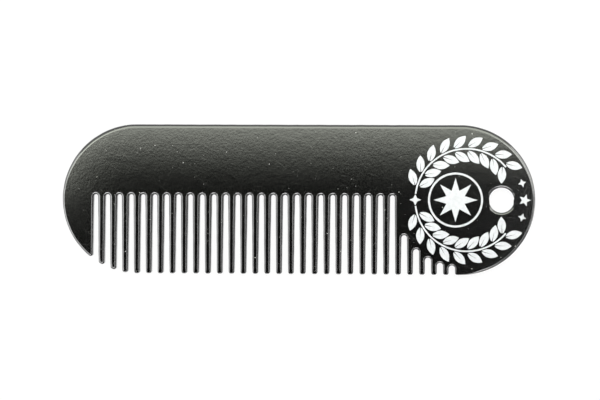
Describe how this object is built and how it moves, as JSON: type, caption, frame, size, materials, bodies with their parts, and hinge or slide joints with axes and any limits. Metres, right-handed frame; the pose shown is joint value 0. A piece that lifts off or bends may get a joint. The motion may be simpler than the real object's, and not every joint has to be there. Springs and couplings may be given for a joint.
{
  "type": "beard comb",
  "caption": "Flat pocket beard comb with round ends: a black coated metal plate with fine tapered teeth, a solid tail with a hanging hole and a white printed wreath.",
  "frame": {"origin": "middle of the back face, which the comb lies on", "axes": "+X along the comb towards the hanging hole, -Y the way the teeth point, +Z out of the printed front face"},
  "size_m": [0.095, 0.03, 0.0021],
  "materials": {
    "black_coat": "semi-gloss black coat on steel, light dust and hairline scratches",
    "white_ink": "thin matt white screen print"
  },
  "bodies": {
    "root": {"comb_plate": "black_coat", "upper_stem": "white_ink", "upper_outer_leaf_1": "white_ink", "upper_inner_leaf_1": "white_ink", "upper_outer_leaf_2": "white_ink", "upper_inner_leaf_2": "white_ink", "upper_outer_leaf_3": "white_ink", "upper_inner_leaf_3": "white_ink", "upper_outer_leaf_4": "white_ink", "upper_inner_leaf_4": "white_ink", "upper_outer_leaf_5": "white_ink", "upper_inner_leaf_5": "white_ink", "upper_outer_leaf_6": "white_ink", "upper_inner_leaf_6": "white_ink", "upper_outer_leaf_7": "white_ink", "upper_inner_leaf_7": "white_ink", "upper_outer_leaf_8": "white_ink", "upper_inner_leaf_8": "white_ink", "upper_outer_leaf_9": "white_ink", "upper_inner_leaf_9": "white_ink", "lower_stem": "white_ink", "lower_outer_leaf_1": "white_ink", "lower_inner_leaf_1": "white_ink", "lower_outer_leaf_2": "white_ink", "lower_inner_leaf_2": "white_ink", "lower_outer_leaf_3": "white_ink", "lower_inner_leaf_3": "white_ink", "lower_outer_leaf_4": "white_ink", "lower_inner_leaf_4": "white_ink", "lower_outer_leaf_5": "white_ink", "lower_inner_leaf_5": "white_ink", "lower_outer_leaf_6": "white_ink", "lower_inner_leaf_6": "white_ink", "lower_outer_leaf_7": "white_ink", "lower_inner_leaf_7": "white_ink", "lower_outer_leaf_8": "white_ink", "lower_inner_leaf_8": "white_ink", "lower_outer_leaf_9": "white_ink", "lower_inner_leaf_9": "white_ink", "wreath_knot": "white_ink", "centre_star": "white_ink", "centre_ring": "white_ink", "tail_star": "white_ink", "upper_tail_diamond": "white_ink", "lower_tail_diamond": "white_ink"}
  },
  "joints": []
}
